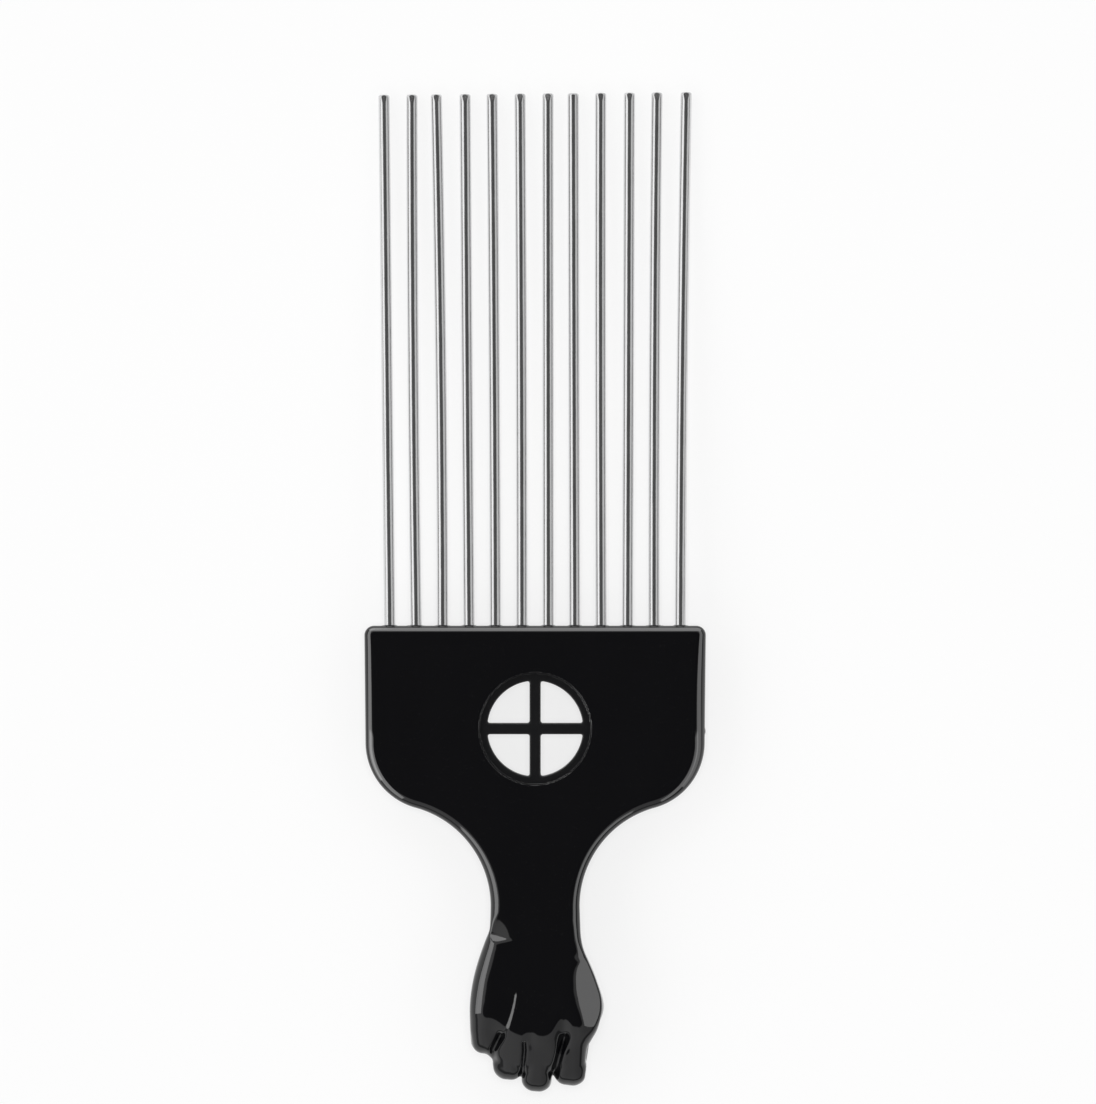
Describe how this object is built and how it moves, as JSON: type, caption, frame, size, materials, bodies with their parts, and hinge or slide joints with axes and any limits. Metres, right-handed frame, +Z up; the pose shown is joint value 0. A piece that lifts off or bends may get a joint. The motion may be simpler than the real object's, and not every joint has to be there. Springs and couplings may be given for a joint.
{
  "type": "afro pick",
  "caption": "Afro pick comb: long straight steel teeth set in a flat black plastic head with a round cross window, on a short handle that ends in a clenched fist.",
  "frame": {"origin": "on the table under the middle of the pick's outline, as it lies front face up", "axes": "+X across the head to the right, +Y from the fist towards the tooth tips, +Z up out of the front face"},
  "size_m": [0.077, 0.2256, 0.021],
  "materials": {
    "handle_plastic": "polished black injection moulding",
    "tooth_steel": "plated and polished steel wire"
  },
  "bodies": {
    "root": {"handle": "handle_plastic", "tooth_01": "tooth_steel", "tooth_02": "tooth_steel", "tooth_03": "tooth_steel", "tooth_04": "tooth_steel", "tooth_05": "tooth_steel", "tooth_06": "tooth_steel", "tooth_07": "tooth_steel", "tooth_08": "tooth_steel", "tooth_09": "tooth_steel", "tooth_10": "tooth_steel", "tooth_11": "tooth_steel", "tooth_12": "tooth_steel"}
  },
  "joints": []
}
